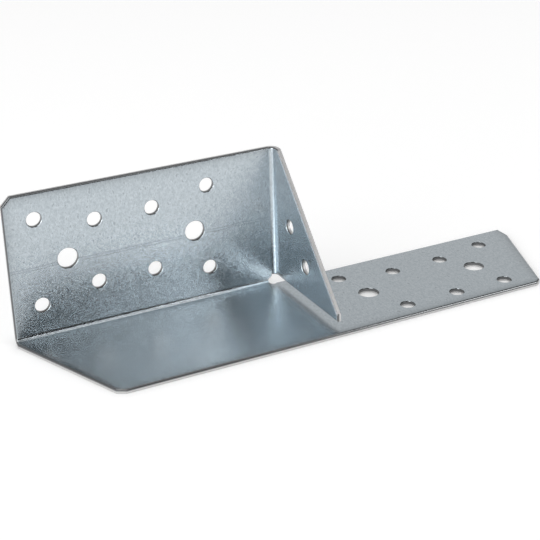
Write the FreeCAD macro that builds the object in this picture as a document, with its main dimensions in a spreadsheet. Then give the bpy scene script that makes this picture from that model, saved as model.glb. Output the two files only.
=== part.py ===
import FreeCAD, Part
import os
import Sketcher

# Universal framing bracket: one blank of galvanised sheet, folded twice at a right angle.
# X runs along the bracket, Y from the front edge to the upright flange, Z up; the underside lies on z = 0.
# x = 0 is the inner face of the gusset; y = 0 is half way from the front edge to the back of the flange.

doc = FreeCAD.newDocument("framing_bracket")
table = doc.addObject("Spreadsheet::Sheet", "Sizes")

# Sheet, folds and overall sizes, then the cut outline, the corner relief and the holes, all in millimetres.
sizes = {
    "gauge": 1.5,
    "foldRadius": 1.5,
    "flangeLength": 95,
    "legLength": 95,
    "depth": 48.5,
    "height": 51.5,
    "topCorner": 3,
    "slantRun": 17.7,
    "slantClip": 1.7,
    "frontClip": 2.2,
    "endSquare": 5.7,
    "endRun": 14.4,
    "endClip": 1.8,
    "legSetback": 1.75,
    "gussetGap": 2.5,
    "gussetInset": 3.1,
    "gussetTip": 2.45,
    "gussetTop": 3.3,
    "gussetCorner": 1,
    "reliefRadius": 1.5,
    "reliefInset": 1.5,
    "nailHole": 5,
    "boltHole": 7,
    "pitch": 20,
    "firstColumn": 10,
    "rowHeight": 27.5,
    "outerSpacing": 30,
    "innerSpacing": 22,
    "flangeBoltLeft": 20,
    "flangeBoltRight": 65,
    "flangeBoltHeight": 27,
    "legFirstColumn": 20,
    "legFrontShift": 10,
    "legOuterRow": 10,
    "legInnerRow": 14,
    "legFrontMargin": 7.2,
    "legBoltLeft": 23.4,
    "legBoltRight": 67.4,
    "legBoltRow": 25,
    "gussetUpperReach": 11.5,
    "gussetUpperHeight": 26.1,
    "gussetLowerReach": 22.2,
    "gussetLowerHeight": 15.2,
    "edgeRoll": 0.7,
    "rimBreak": 0.2,
}


class Length:
    # A number together with the expression that gives it from the table of sizes.
    def __init__(self, value, text):
        self.value = value
        self.text = text

    def join(self, other, sign, value):
        text = other.text if isinstance(other, Length) else repr(other)
        return Length(value, "(" + self.text + " " + sign + " " + text + ")")

    def __add__(self, other):
        return self.join(other, "+", self.value + number(other))

    def __sub__(self, other):
        return self.join(other, "-", self.value - number(other))

    def __mul__(self, other):
        return self.join(other, "*", self.value * number(other))

    def __truediv__(self, other):
        return self.join(other, "/", self.value / number(other))

    def __neg__(self):
        return Length(-self.value, "(0 - " + self.text + ")")


def number(item):
    return item.value if isinstance(item, Length) else item


size = {}
for row, (name, value) in enumerate(sizes.items(), start=1):
    table.set("A" + str(row), name)
    table.set("B" + str(row), str(value))
    table.setAlias("B" + str(row), name)
    size[name] = Length(float(value), "Sizes." + name)
doc.recompute()

gauge = size["gauge"]
fold = size["foldRadius"]
height = size["height"]
left = -size["flangeLength"]
right = size["legLength"]
back = size["depth"] / 2
front = -back
inner = back - gauge
legBack = inner - size["legSetback"]
zero = gauge - gauge

body = doc.addObject("PartDesign::Body", "Bracket")
body.Label = "framing_bracket"
planes = {item.Role: item for item in body.Origin.OriginFeatures}


def makeSketch(name, plane, shift=None):
    # A sketch on one of the body's own planes, moved along the plane's normal by a length.
    sketch = body.newObject("Sketcher::SketchObject", name)
    sketch.AttachmentSupport = [(planes[plane], "")]
    sketch.MapMode = "FlatFace"
    if shift is not None:
        sketch.AttachmentOffset = FreeCAD.Placement(FreeCAD.Vector(0, 0, shift.value), FreeCAD.Rotation())
        sketch.setExpression("AttachmentOffset.Base.z", shift.text)
    doc.recompute()
    return sketch


def fix(sketch, geometry, point, across, up):
    # Holds one point of a sketch at two lengths from the origin.
    for kind, length in (("DistanceX", across), ("DistanceY", up)):
        if length is None:
            continue
        row = sketch.addConstraint(Sketcher.Constraint(kind, -1, 1, geometry, point, length.value))
        sketch.setExpression("Constraints[" + str(row) + "]", length.text)


def drawOutline(sketch, points, arcs=None):
    # A closed outline through the points; arcs maps the index of a side to the centre of its bend.
    arcs = arcs or {}
    count = len(points)
    spots = [FreeCAD.Vector(across.value, up.value, 0) for across, up in points]
    ends = []
    for index in range(count):
        start = spots[index]
        stop = spots[(index + 1) % count]
        if index in arcs:
            across, up, turn = arcs[index]
            centre = FreeCAD.Vector(across.value, up.value, 0)
            radius = start.distanceToPoint(centre)
            first = FreeCAD.Vector(1, 0, 0).getAngle(start - centre)
            last = FreeCAD.Vector(1, 0, 0).getAngle(stop - centre)
            first = first if start.y >= centre.y else -first
            last = last if stop.y >= centre.y else -last
            low = first if turn > 0 else last
            high = last if turn > 0 else first
            circle = Part.Circle(centre, FreeCAD.Vector(0, 0, 1), radius)
            side = sketch.addGeometry(Part.ArcOfCircle(circle, low, high))
            ends.append((side, 1, 2) if turn > 0 else (side, 2, 1))
        else:
            side = sketch.addGeometry(Part.LineSegment(start, stop))
            ends.append((side, 1, 2))
    for index in range(count):
        side, start, stop = ends[index]
        after, begin, rest = ends[(index + 1) % count]
        sketch.addConstraint(Sketcher.Constraint("Coincident", side, stop, after, begin))
        fix(sketch, side, start, points[index][0], points[index][1])
    for index, (across, up, turn) in arcs.items():
        fix(sketch, ends[index][0], 3, across, None)
    doc.recompute()


def drawHoles(sketch, diameter, centres):
    for across, up in centres:
        spot = FreeCAD.Vector(across.value, up.value, 0)
        circle = sketch.addGeometry(Part.Circle(spot, FreeCAD.Vector(0, 0, 1), diameter.value / 2))
        row = sketch.addConstraint(Sketcher.Constraint("Diameter", circle, diameter.value))
        sketch.setExpression("Constraints[" + str(row) + "]", diameter.text)
        fix(sketch, circle, 3, across, up)
    doc.recompute()


def makePad(name, sketch, length):
    pad = body.newObject("PartDesign::Pad", name)
    pad.Profile = sketch
    pad.Type = "Length"
    pad.Length = length.value
    pad.setExpression("Length", length.text)
    pad.Refine = True
    doc.recompute()
    return pad


def makePocket(name, sketch, reverse):
    before = body.Tip.Shape.Volume
    pocket = body.newObject("PartDesign::Pocket", name)
    pocket.Profile = sketch
    pocket.Type = "ThroughAll"
    pocket.Reversed = reverse
    pocket.Refine = True
    doc.recompute()
    if not pocket.Shape.Volume < before - 0.01:
        raise RuntimeError(name + " removes nothing")
    return pocket


# The base, the long fold and the flange as one bent strip, from the left end to the upright fold.
strip = makeSketch("StripProfile", "YZ_Plane", left)
bendLine = inner - fold
drawOutline(
    strip,
    [
        (front, zero),
        (bendLine, zero),
        (back, gauge + fold),
        (back, height),
        (inner, height),
        (inner, gauge + fold),
        (bendLine, gauge),
        (front, gauge),
    ],
    {1: (bendLine, gauge + fold, 1), 5: (bendLine, gauge + fold, -1)},
)
makePad("Strip", strip, size["flangeLength"] - fold)

# The flat leg, with a short square corner at its back, a slanting end and a clipped front corner.
leg = makeSketch("LegOutline", "XY_Plane")
slope = size["endRun"] / (legBack - size["endSquare"] - front)
drawOutline(
    leg,
    [
        (-fold, front),
        (right - size["endRun"] - size["endClip"], front),
        (right - size["endRun"] + slope * size["endClip"], front + size["endClip"]),
        (right, legBack - size["endSquare"]),
        (right, legBack),
        (-fold, legBack),
    ],
)
makePad("Leg", leg, gauge)

# The upright fold and the gusset, standing clear of the base.
gussetFoot = gauge + size["gussetGap"]
gusset = makeSketch("GussetProfile", "XY_Plane", gussetFoot)
reach = front + size["gussetInset"]
drawOutline(
    gusset,
    [
        (-fold, inner),
        (zero, bendLine),
        (zero, reach),
        (gauge, reach),
        (gauge, bendLine),
        (-fold, back),
    ],
    {0: (-fold, bendLine, -1), 4: (-fold, bendLine, 1)},
)
makePad("Gusset", gusset, height - gussetFoot)

# The gusset's sloping edge, from a short level top down to a blunt tip.
slopeCut = makeSketch("GussetSlope", "YZ_Plane")
drawOutline(
    slopeCut,
    [
        (inner - size["gussetTop"], height),
        (reach, gussetFoot + size["gussetTip"]),
        (reach - 5, gussetFoot + size["gussetTip"]),
        (reach - 5, height + 5),
        (inner - size["gussetTop"], height + 5),
    ],
)
makePocket("GussetCut", slopeCut, True)

# The slanting left end of the base, from the long fold to a small clip at the front edge.
slantCut = makeSketch("SlantOutline", "XY_Plane")
clipShare = size["slantClip"] / (bendLine - front)
drawOutline(
    slantCut,
    [
        (left, bendLine),
        (left + size["slantRun"] - size["slantRun"] * clipShare, front + size["slantClip"]),
        (left + size["slantRun"] + size["frontClip"], front),
        (left + size["slantRun"] + size["frontClip"], front - 5),
        (left - 5, front - 5),
        (left - 5, bendLine),
    ],
)
makePocket("SlantCut", slantCut, True)

# The cut corner at the top left of the flange.
cornerCut = makeSketch("TopCorner", "XZ_Plane")
drawOutline(
    cornerCut,
    [
        (left, height - size["topCorner"]),
        (left + size["topCorner"], height),
        (left + size["topCorner"], height + 5),
        (left - 5, height + 5),
        (left - 5, height - size["topCorner"]),
    ],
)
makePocket("CornerCut", cornerCut, False)

# The round end of the relief, cut square through the middle of the long fold where the three walls meet.
relief = body.newObject("Sketcher::SketchObject", "ReliefOutline")
relief.AttachmentSupport = [(planes["XY_Plane"], "")]
relief.MapMode = "FlatFace"
tilt = FreeCAD.Rotation(FreeCAD.Vector(1, 0, 0), 45)
centreZ = gauge + fold
relief.AttachmentOffset = FreeCAD.Placement(FreeCAD.Vector(0, bendLine.value, centreZ.value), tilt)
relief.setExpression("AttachmentOffset.Base.y", bendLine.text)
relief.setExpression("AttachmentOffset.Base.z", centreZ.text)
doc.recompute()
drawHoles(relief, size["reliefRadius"] * 2, [(-size["reliefInset"], zero)])
makePocket("ReliefCut", relief, False)

# Nail holes and larger bolt holes through the flange: four columns, the outer pairs set wider than the inner.
columns = [left + size["firstColumn"] + size["pitch"] * step for step in range(4)]
spacings = [size["outerSpacing"], size["innerSpacing"], size["innerSpacing"], size["outerSpacing"]]
flangeNails = []
for column, spacing in zip(columns, spacings):
    flangeNails.append((column, size["rowHeight"] + spacing / 2))
    flangeNails.append((column, size["rowHeight"] - spacing / 2))
nails = makeSketch("FlangeNails", "XZ_Plane")
drawHoles(nails, size["nailHole"], flangeNails)
makePocket("FlangeNailHoles", nails, False)
bolts = makeSketch("FlangeBolts", "XZ_Plane")
boltsAt = [left + size["flangeBoltLeft"], left + size["flangeBoltRight"]]
drawHoles(bolts, size["boltHole"], [(across, size["flangeBoltHeight"]) for across in boltsAt])
makePocket("FlangeBoltHoles", bolts, False)

# Holes of the leg: the back row bows outward at its ends, and the front row is staggered by half a pitch.
legRows = [size["legOuterRow"], size["legInnerRow"], size["legInnerRow"], size["legOuterRow"]]
legNails = []
for step in range(4):
    legNails.append((size["legFirstColumn"] + size["pitch"] * step, inner - legRows[step]))
for step in range(3):
    across = size["legFirstColumn"] + size["legFrontShift"] + size["pitch"] * step
    legNails.append((across, front + size["legFrontMargin"]))
nails = makeSketch("LegNails", "XY_Plane")
drawHoles(nails, size["nailHole"], legNails)
makePocket("LegNailHoles", nails, True)
bolts = makeSketch("LegBolts", "XY_Plane")
boltsAt = [size["legBoltLeft"], size["legBoltRight"]]
drawHoles(bolts, size["boltHole"], [(across, inner - size["legBoltRow"]) for across in boltsAt])
makePocket("LegBoltHoles", bolts, True)

# Two nail holes through the gusset, in line with its sloping edge.
gussetNails = [
    (inner - size["gussetUpperReach"], size["gussetUpperHeight"]),
    (inner - size["gussetLowerReach"], size["gussetLowerHeight"]),
]
nails = makeSketch("GussetNails", "YZ_Plane")
drawHoles(nails, size["nailHole"], gussetNails)
makePocket("GussetNailHoles", nails, True)


def insideFace(face):
    # True for the faces on the punched side of the blank: the three walls seen from inside, and the folds.
    surface = face.Surface
    if isinstance(surface, Part.Cylinder):
        along = max(abs(surface.Axis.x), abs(surface.Axis.z))
        return abs(surface.Radius - fold.value) < 1e-6 and along > 0.99
    if not isinstance(surface, Part.Plane):
        return False
    middle = face.CenterOfMass
    normal = face.normalAt(0, 0)
    onBase = abs(middle.z - gauge.value) < 1e-6 and normal.z > 0.99
    onFlange = abs(middle.y - inner.value) < 1e-6 and normal.y < -0.99
    onGusset = abs(middle.x) < 1e-6 and normal.x < -0.99
    return onBase or onFlange or onGusset


def outlineFace(face):
    # True for a flat face of the cut outline; the back of the leg and the end of the long fold keep sharp edges.
    if not isinstance(face.Surface, Part.Plane):
        return False
    middle = face.CenterOfMass
    normal = face.normalAt(0, 0)
    legSlit = abs(middle.y - legBack.value) < 1e-6 and normal.y > 0.99
    foldEnd = abs(middle.x + fold.value) < 1e-6 and normal.x > 0.99
    return not (legSlit or foldEnd)


def rimFace(face):
    # True for the wall of a nail hole or a bolt hole.
    rims = (size["nailHole"].value / 2, size["boltHole"].value / 2)
    if not isinstance(face.Surface, Part.Cylinder):
        return False
    return min(abs(face.Surface.Radius - rim) for rim in rims) < 1e-6


def findEdges(wanted):
    # Names of the edges between an inside face and a cut face that the test accepts.
    shape = body.Tip.Shape
    names = []
    for index, edge in enumerate(shape.Edges, start=1):
        faces = shape.ancestorsOfType(edge, Part.Face)
        outside = [face for face in faces if not insideFace(face)]
        if len(faces) == 2 and len(outside) == 1 and wanted(outside[0]):
            names.append("Edge" + str(index))
    return names


def cornerEdges(across, up):
    # Names of the edges that run along X through a point of the gusset's outline.
    names = []
    for index, edge in enumerate(body.Tip.Shape.Edges, start=1):
        ends = [vertex.Point for vertex in edge.Vertexes]
        if max(abs(end.y - across) + abs(end.z - up) for end in ends) < 1e-6:
            names.append("Edge" + str(index))
    return names


def makeFillet(name, names, radius):
    base = body.Tip
    fillet = body.newObject("PartDesign::Fillet", name)
    fillet.Base = (base, names)
    fillet.Radius = radius.value
    fillet.setExpression("Radius", radius.text)
    fillet.Refine = True
    doc.recompute()
    return fillet


def makeChamfer(name, names, width):
    base = body.Tip
    chamfer = body.newObject("PartDesign::Chamfer", name)
    chamfer.Base = (base, names)
    chamfer.Size = width.value
    chamfer.setExpression("Size", width.text)
    chamfer.Refine = True
    doc.recompute()
    return chamfer


# The eased corner between the gusset's level top and its slope.
makeFillet("GussetCorner", cornerEdges((inner - size["gussetTop"]).value, height.value), size["gussetCorner"])

# The shear draws the sheet down along every cut edge of the punched side; the punch breaks the holes' rims.
makeFillet("RolledEdges", findEdges(outlineFace), size["edgeRoll"])
makeChamfer("BrokenRims", findEdges(rimFace), size["rimBreak"])

for item in doc.Objects:
    if "Invalid" in item.State or "Error" in item.State:
        raise RuntimeError(item.Name + " " + str(item.State))
shape = body.Shape
if shape.isNull() or not shape.isValid() or len(shape.Solids) != 1:
    raise RuntimeError("the bracket is not one valid solid")
print("volume", round(shape.Volume, 1), "box", shape.BoundBox)

os.makedirs("parts", exist_ok=True)
shape.exportStep("parts/framing_bracket.step")
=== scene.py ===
import math
import bpy
import numpy as np
from mathutils import Matrix

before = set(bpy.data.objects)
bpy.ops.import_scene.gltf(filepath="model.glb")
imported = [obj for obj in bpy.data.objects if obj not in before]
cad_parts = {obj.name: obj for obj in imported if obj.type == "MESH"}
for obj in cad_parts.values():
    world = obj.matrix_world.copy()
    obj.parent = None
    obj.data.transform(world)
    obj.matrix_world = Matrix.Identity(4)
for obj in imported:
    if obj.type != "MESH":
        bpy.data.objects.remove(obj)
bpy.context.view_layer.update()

print("bracket loaded, nodes:", sorted(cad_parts))


class Signal:
    # one output socket; a sum or product of signals adds a Math node beside it
    def __init__(self, tree, socket):
        self.tree = tree
        self.socket = socket

    def calc(self, operation, *others):
        inputs = dict(enumerate((self,) + others))
        return addSignal(self.tree, "ShaderNodeMath", 0, {"operation": operation}, inputs)

    def flipped(self, operation, other):
        return addSignal(self.tree, "ShaderNodeMath", 0, {"operation": operation}, {0: other, 1: self})

    def __add__(self, other):
        return self.calc("ADD", other)

    def __radd__(self, other):
        return self.flipped("ADD", other)

    def __sub__(self, other):
        return self.calc("SUBTRACT", other)

    def __rsub__(self, other):
        return self.flipped("SUBTRACT", other)

    def __mul__(self, other):
        return self.calc("MULTIPLY", other)

    def __rmul__(self, other):
        return self.flipped("MULTIPLY", other)

    def __gt__(self, other):
        return self.calc("GREATER_THAN", other)

    def rise(self, low, high):
        # 0 below low, 1 above high, smooth between
        return addSignal(self.tree, "ShaderNodeMapRange", 0, {"interpolation_type": "SMOOTHSTEP"},
                         {"Value": self, "From Min": low, "From Max": high})

    def fade(self, reach):
        # exponential of minus the distance over its reach
        return (self * (-1 / reach)).calc("EXPONENT")


def addNode(tree, kind, settings=None, inputs=None):
    # any node: its settings go in first, then numbers, colours or links into its sockets
    made = tree.nodes.new(kind)
    for name, value in (settings or {}).items():
        setattr(made, name, value)
    for name, value in (inputs or {}).items():
        if isinstance(value, Signal):
            tree.links.new(value.socket, made.inputs[name])
        else:
            made.inputs[name].default_value = value
    return made


def addSignal(tree, kind, output, settings=None, inputs=None):
    return Signal(tree, addNode(tree, kind, settings, inputs).outputs[output])


def joinAxes(tree, x, y, z):
    return addSignal(tree, "ShaderNodeCombineXYZ", 0, None, {0: x, 1: y, 2: z})


def addNoise(tree, place, scale, detail, roughness):
    return addSignal(tree, "ShaderNodeTexNoise", "Fac", None,
                     {"Vector": place, "Scale": scale, "Detail": detail, "Roughness": roughness})


def mixColors(tree, factor, first, second):
    # sockets 6 and 7 are the two colours of a Mix node set to RGBA, 2 its colour result
    return addSignal(tree, "ShaderNodeMix", 2, {"data_type": "RGBA"}, {0: factor, 6: first, 7: second})


def startMaterial(name):
    material = bpy.data.materials.new(name)
    material.use_nodes = True
    material.node_tree.nodes.clear()
    return material, material.node_tree


def showSurface(tree, shader, kind="ShaderNodeOutputMaterial"):
    output = addNode(tree, kind)
    tree.links.new(shader.outputs[0], output.inputs["Surface"])


# galvanised sheet, lengths in millimetres as in the model; heights of the relief are in metres
zinc = {
    "gauge": 1.5,
    "foldRadius": 1.5,
    "bendLine": 21.25,
    "gussetFoot": 3.2,
    "tipLine": -20.9,
    "edgeRoll": 0.7,
    "paleColor": (0.585, 0.64, 0.675, 1),
    "darkColor": (0.415, 0.465, 0.5, 1),
    # painted shade colour of the dark stripe along the cut edges
    "edgeShadeColor": (0.12, 0.13, 0.135, 1),
    "speckColor": (0.34, 0.38, 0.41, 1),
    "burnishColor": (0.16, 0.165, 0.17, 1),
    "fractureColor": (0.64, 0.64, 0.64, 1),
    "cutStart": (0.02, 0.14),  # depth at which a face turns into a cut edge
    "cutShort": (0.05, 0.01),  # and how far short of the other face it ends
    # burnish depth in the holes, deep enough to paint shade into them; the rim and slope numbers paint light
    # onto outer edges and the gusset slope
    "burnishAndShadeDepth": 1.1,
    "rimPaintedLight": 0.25,
    "rimReach": (0.8, 1.2),
    "slopePaintedHighlight": 0.4,
    "breakBlur": 0.12,
    "roughness": 0.12,
    "grainRoughness": 0.1,
    "cutRoughness": 0.1,
    "brokenRoughness": 0.25,
    "grooveStretch": (1.8, 17.0),  # grooves to a millimetre, along and across the blank
    "grooveHeight": 2.35e-5,
    "grooveFade": (0.0, 0.08),
    "foldSpan": (0.0, 0.5),
    "foldSmoothing": 0.4,
    "grainStretch": 0.5,
    "grainScale": 2.2,
    "grainSpread": (0.3, 0.7),
    "grainHeight": 1e-5,
    "dotScale": 0.8,
    "dotSpread": (0.35, 0.65),
    "mottleShares": (0.6, 0.4),  # of the grain and of the dots
    "speckSpread": (0.61, 0.7),
    "speckShare": 0.75,
    "waveScale": 0.09,
    "waveHeight": 4e-5,
    "edgeShadeReach": 1.6,
    "edgeShadeShare": 0.6,
    "drawDepth": 1.2e-4,
    "drawReach": 1.0,
    "rollMarkHeight": 25.8,
    "rollMarkGap": 0.42,
    "rollMarkWander": 1.2,
    "rollMarkBlur": (0.08, 0.28),
    "rollMarkBreaks": (0.35, 0.55),
    "rollMarkShare": 0.8,
}

# cut edges of the walls: the distance from each is x, y and z times the first three numbers, plus the fourth
sheetEdges = {
    "front": (0, 1, 0, 24.25),
    "slant": (0.932, 0.3626, 0, 80.84),
    "legEnd": (-0.9397, 0.3421, 0, 84.04),
    "legSquare": (-1, 0, 0, 95),
    "top": (0, 0, -1, 51.5),
    "topCorner": (0.7071, 0, -0.7071, 101.47),
}
gussetEdges = {
    "slope": (0, 0.743, -0.669, 20.03),
    "foot": (0, 0, 1, -4),
    "tip": (0, 1, 0, 21.15),
    "top": (0, 0, -1, 51.5),
}


def edgeDistance(edges, x, y, z):
    # distance from the nearest of some straight edges
    nearest = None
    for alongX, alongY, alongZ, shift in edges.values():
        distance = x * alongX + y * alongY + z * alongZ + shift
        nearest = distance if nearest is None else nearest.calc("MINIMUM", distance)
    return nearest


def makeZinc(settings):
    material, tree = startMaterial("galvanised_steel")
    spot = addSignal(tree, "ShaderNodeTexCoord", "Object")
    split = addNode(tree, "ShaderNodeSeparateXYZ", None, {0: spot})
    x, y, z = (Signal(tree, split.outputs[axis]) * 1000 for axis in range(3))  # metres to millimetres

    # depth below the punched face: distance from a fold's axis less its radius, which also holds on the flats
    gauge = settings["gauge"]
    foldRadius = settings["foldRadius"]
    overBend = (y - settings["bendLine"]).calc("MAXIMUM", 0)
    underBend = (gauge + foldRadius - z).calc("MAXIMUM", 0)
    overGusset = (x + foldRadius).calc("MAXIMUM", 0)
    stripDepth = (overBend * overBend + underBend * underBend).calc("SQRT") - foldRadius
    gussetDepth = (overBend * overBend + overGusset * overGusset).calc("SQRT") - foldRadius
    onGusset = (z > settings["gussetFoot"]) * (x > -foldRadius)
    depth = stripDepth + (gussetDepth - stripDepth) * onGusset
    shortStart, shortEnd = settings["cutShort"]
    cut = depth.rise(*settings["cutStart"]) * (1 - depth.rise(gauge - shortStart, gauge - shortEnd))

    # the shears draw the sheet down along each cut edge, and a dark stripe there is painted shade for the
    # darker reflection of that drawn-down edge
    fromSheetEdge = edgeDistance(sheetEdges, x, y, z)
    fromGussetEdge = edgeDistance(gussetEdges, x, y, z)
    fromEdge = fromSheetEdge + (fromGussetEdge - fromSheetEdge) * onGusset
    fromEdge = fromEdge.calc("MAXIMUM", settings["edgeRoll"])
    drawn = fromEdge.fade(settings["drawReach"])
    edgeShade = fromEdge.fade(settings["edgeShadeReach"]) * (1 - onGusset)

    # a cut is burnished dark down to some depth and broken pale below it; the dark reaches deeper in the holes
    # as painted shade, and gives way to pale sooner on outer edges and the up-facing gusset slope as painted
    # light
    onRim = 1 - fromEdge.rise(*settings["rimReach"])
    onSlope = onGusset * (y > settings["tipLine"])
    # painted light: the pale fracture starts higher on outer edges and the slope, and the dark burnish goes
    # deeper in holes as painted shade
    breakAndLightDepth = settings["burnishAndShadeDepth"] - onRim * settings["rimPaintedLight"] - onSlope * settings["slopePaintedHighlight"]
    fractureAndLight = (depth - breakAndLightDepth).rise(-settings["breakBlur"], settings["breakBlur"])

    # rolling grooves fade on cut edges and in the long fold
    inFold = (overBend * underBend).rise(*settings["foldSpan"])
    smooth = (1 - depth.rise(*settings["grooveFade"])) * (1 - inFold * settings["foldSmoothing"])

    # the unfolded blank: along the bracket, and across it from the front edge up the flange
    along = x - y * onGusset
    across = y + z
    alongGroove, acrossGroove = settings["grooveStretch"]
    blank = joinAxes(tree, along, across * settings["grainStretch"], 0.0)
    strip = joinAxes(tree, along * alongGroove, across * acrossGroove, 3.0)
    plain = joinAxes(tree, along, across, 7.0)
    grain = addNoise(tree, blank, settings["grainScale"], 3.0, 0.6)
    dots = addNoise(tree, blank, settings["dotScale"], 2.0, 0.55)
    groove = addNoise(tree, strip, 1.0, 1.0, 0.5)
    wave = addNoise(tree, plain, settings["waveScale"], 2.0, 0.5)

    # a pair of broken lines left by the rolls along the flange
    fromMark = (z - settings["rollMarkHeight"] + (wave - 0.5) * settings["rollMarkWander"]).calc("ABSOLUTE")
    fromLine = (fromMark - settings["rollMarkGap"]).calc("ABSOLUTE")
    rollMark = 1 - fromLine.rise(*settings["rollMarkBlur"])
    rollMark = rollMark * grain.rise(*settings["rollMarkBreaks"]) * (1 - onGusset)

    grainShare, dotShare = settings["mottleShares"]
    mottle = grain.rise(*settings["grainSpread"]) * grainShare + dots.rise(*settings["dotSpread"]) * dotShare
    speck = dots.rise(*settings["speckSpread"])
    face = mixColors(tree, mottle, settings["darkColor"], settings["paleColor"])
    face = mixColors(tree, speck * settings["speckShare"], face, settings["speckColor"])
    face = mixColors(tree, rollMark * settings["rollMarkShare"], face, settings["speckColor"])
    # painted shade: a dark stripe along the cut edges, off the gusset
    face = mixColors(tree, edgeShade * settings["edgeShadeShare"], face, settings["edgeShadeColor"])
    edge = mixColors(tree, fractureAndLight, settings["burnishColor"], settings["fractureColor"])
    color = mixColors(tree, cut, face, edge)

    cutRoughness = settings["cutRoughness"] + fractureAndLight * settings["brokenRoughness"]
    roughness = settings["roughness"] + (grain - 0.5) * settings["grainRoughness"] + cut * cutRoughness
    height = (groove - 0.5) * smooth * settings["grooveHeight"]
    height = height + grain * settings["grainHeight"] + wave * settings["waveHeight"]
    height = height - drawn * settings["drawDepth"]
    normal = addSignal(tree, "ShaderNodeBump", 0, None, {"Strength": 1.0, "Distance": 1.0, "Height": height})
    shader = addNode(tree, "ShaderNodeBsdfPrincipled", None, {
        "Base Color": color, "Metallic": 1.0, "Roughness": roughness, "Normal": normal})
    showSurface(tree, shader)
    return material


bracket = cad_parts["framing_bracket"]
bracket.data.materials.clear()
bracket.data.materials.append(makeZinc(zinc))
print("zinc finish on the bracket")


# pale studio floor: it takes the shadow, and is white to the camera and in the metal
floor = {"reach": 6.0, "cells": 8, "drop": 5e-5, "color": (0.55, 0.55, 0.55, 1), "glow": 0.57, "contact": 0.008}


def makeFloor(settings):
    # flat grid over two parameters, each from minus to plus the reach
    cells = settings["cells"]
    side = np.linspace(-settings["reach"], settings["reach"], cells + 1)
    across, along = np.meshgrid(side, side)
    points = np.stack([across, along, np.full_like(across, -settings["drop"])], -1).reshape(-1, 3)
    corner = np.arange(cells)[:, None] * (cells + 1) + np.arange(cells)[None, :]
    quads = np.stack([corner, corner + 1, corner + cells + 2, corner + cells + 1], -1).reshape(-1, 4)
    mesh = bpy.data.meshes.new("studio_floor")
    mesh.from_pydata(points.tolist(), [], quads.tolist())
    item = bpy.data.objects.new("studio_floor", mesh)
    bpy.context.scene.collection.objects.link(item)

    # diffuse paper, plus a glow for camera and mirrored rays, dimmed by ambient occlusion close to the bracket
    # as painted contact shade
    material, tree = startMaterial("floor_paper")
    paper = addNode(tree, "ShaderNodeBsdfDiffuse", None, {"Color": settings["color"]})
    rays = addNode(tree, "ShaderNodeLightPath")
    seen = Signal(tree, rays.outputs["Is Camera Ray"])
    for name in ("Is Glossy Ray", "Is Transmission Ray"):
        seen = seen.calc("MAXIMUM", Signal(tree, rays.outputs[name]))
    # painted shade: the glow darkens in the holes and where the bracket stands close over the floor
    clear = addSignal(tree, "ShaderNodeAmbientOcclusion", "Color", {"samples": 8},
                      {"Distance": settings["contact"]})
    glow = addNode(tree, "ShaderNodeEmission", None, {"Color": clear, "Strength": seen * settings["glow"]})
    both = addNode(tree, "ShaderNodeAddShader")
    tree.links.new(paper.outputs[0], both.inputs[0])
    tree.links.new(glow.outputs[0], both.inputs[1])
    showSurface(tree, both)
    mesh.materials.append(material)


makeFloor(floor)
print("floor laid")


# soft room light, paler behind the bracket than in front of it
room = {"front": 0.02, "back": 0.83, "turn": (-0.2, 0.5)}


def makeRoom(settings):
    # the level goes from front to back as the heading's share along Y rises
    world = bpy.data.worlds.new("studio_room")
    world.use_nodes = True
    bpy.context.scene.world = world
    tree = world.node_tree
    tree.nodes.clear()
    heading = addSignal(tree, "ShaderNodeTexCoord", "Generated")
    split = addNode(tree, "ShaderNodeSeparateXYZ", None, {0: heading})
    behind = Signal(tree, split.outputs[1]).rise(*settings["turn"])
    level = behind * (settings["back"] - settings["front"]) + settings["front"]
    light = addNode(tree, "ShaderNodeBackground", None, {"Strength": level})
    showSurface(tree, light, "ShaderNodeOutputWorld")


makeRoom(room)

# lamps by their heading from the bracket: azimuth from the front towards the right, elevation and size
# in degrees, distance in metres, and as level what a mirror would show of the lamp
lamps = {
    "right": {"azimuth": 39.5, "elevation": 24, "wide": 15.5, "tall": 24, "distance": 3, "level": 6.5},
    "rightCard": {"azimuth": 32, "elevation": 10, "wide": 7.9, "tall": 16, "distance": 0.32, "level": 2.3},
    "rightTop": {"azimuth": 60, "elevation": 67, "wide": 23.4, "tall": 20, "distance": 3, "level": 1.2},
    "front": {"azimuth": 20, "elevation": 46, "wide": 13.9, "tall": 20, "distance": 3, "level": 1.5},
    "frontLeft": {"azimuth": -29, "elevation": 37, "wide": 12, "tall": 18, "distance": 3, "level": 4.8},
    "left": {"azimuth": -77, "elevation": 22, "wide": 33.4, "tall": 14, "distance": 3, "level": 3.9},
    "leftLow": {"azimuth": -68, "elevation": 8, "wide": 53.5, "tall": 14, "distance": 3, "level": 4.1},
    "leftHigh": {"azimuth": -68, "elevation": 36, "wide": 43.7, "tall": 14, "distance": 3, "level": 2.8},
    "leftTop": {"azimuth": -60, "elevation": 56, "wide": 28, "tall": 20, "distance": 3, "level": 2.9},
}


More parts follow.
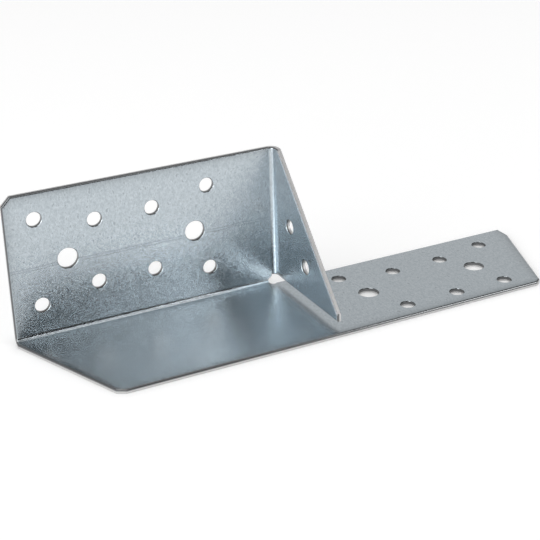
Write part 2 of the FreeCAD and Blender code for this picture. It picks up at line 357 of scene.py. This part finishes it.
def makeLamp(name, settings):
    # a rectangle that faces the origin; its width is twice the distance times the tangent of half its angle
    distance = settings["distance"]
    turn = math.radians(settings["azimuth"])
    lift = math.radians(settings["elevation"])
    heading = np.array([math.sin(turn) * math.cos(lift), -math.cos(turn) * math.cos(lift), math.sin(lift)])
    right = np.cross([0, 0, 1], heading)
    right = right / np.linalg.norm(right)
    wide = 2 * distance * math.tan(math.radians(settings["wide"] / 2))
    tall = 2 * distance * math.tan(math.radians(settings["tall"] / 2))
    light = bpy.data.lights.new(name, "AREA")
    light.shape = "RECTANGLE"
    light.size = wide
    light.size_y = tall
    light.energy = settings["level"] * math.pi * wide * tall
    item = bpy.data.objects.new(name, light)
    axes = np.eye(4)
    axes[:3, 0] = right
    axes[:3, 1] = np.cross(heading, right)
    axes[:3, 2] = heading
    axes[:3, 3] = heading * distance
    item.matrix_world = Matrix(axes.tolist())
    item.visible_camera = False
    bpy.context.scene.collection.objects.link(item)


for lampName, lampSettings in lamps.items():
    makeLamp(lampName, lampSettings)
print("room and lamps lit")


# photograph's viewpoint: place in metres, heading and tilt in degrees, lens in pixels of a 540 by 540 image
viewpoint = {
    "place": (-0.19578, -0.36672, 0.20285),
    "azimuth": 26.976,
    "elevation": 24.199,
    "roll": -1.395,
    "focal": 1354.475,
    "middle": (281.537, 266.293),
    "image": 540,
    "sensor": 36,
}


def makeCamera(settings):
    # looks along the heading, rolled about it, with the lens shifted to the image's optical middle
    turn, lift, roll = (math.radians(settings[name]) for name in ("azimuth", "elevation", "roll"))
    ahead = np.array([math.sin(turn) * math.cos(lift), math.cos(turn) * math.cos(lift), -math.sin(lift)])
    level = np.cross(ahead, [0, 0, 1])
    level = level / np.linalg.norm(level)
    upright = np.cross(level, ahead)
    axes = np.eye(4)
    axes[:3, 0] = level * math.cos(roll) + upright * math.sin(roll)
    axes[:3, 1] = upright * math.cos(roll) - level * math.sin(roll)
    axes[:3, 2] = -ahead
    axes[:3, 3] = settings["place"]
    view = bpy.data.cameras.new("viewpoint")
    view.sensor_fit = "HORIZONTAL"
    view.sensor_width = settings["sensor"]
    view.lens = settings["sensor"] * settings["focal"] / settings["image"]
    view.shift_x = 0.5 - settings["middle"][0] / settings["image"]
    view.shift_y = settings["middle"][1] / settings["image"] - 0.5
    view.clip_start = 0.01
    view.clip_end = 50
    item = bpy.data.objects.new("viewpoint", view)
    item.matrix_world = Matrix(axes.tolist())
    bpy.context.scene.collection.objects.link(item)
    bpy.context.scene.camera = item


makeCamera(viewpoint)
bpy.context.scene.view_settings.view_transform = "Standard"
print("camera set")
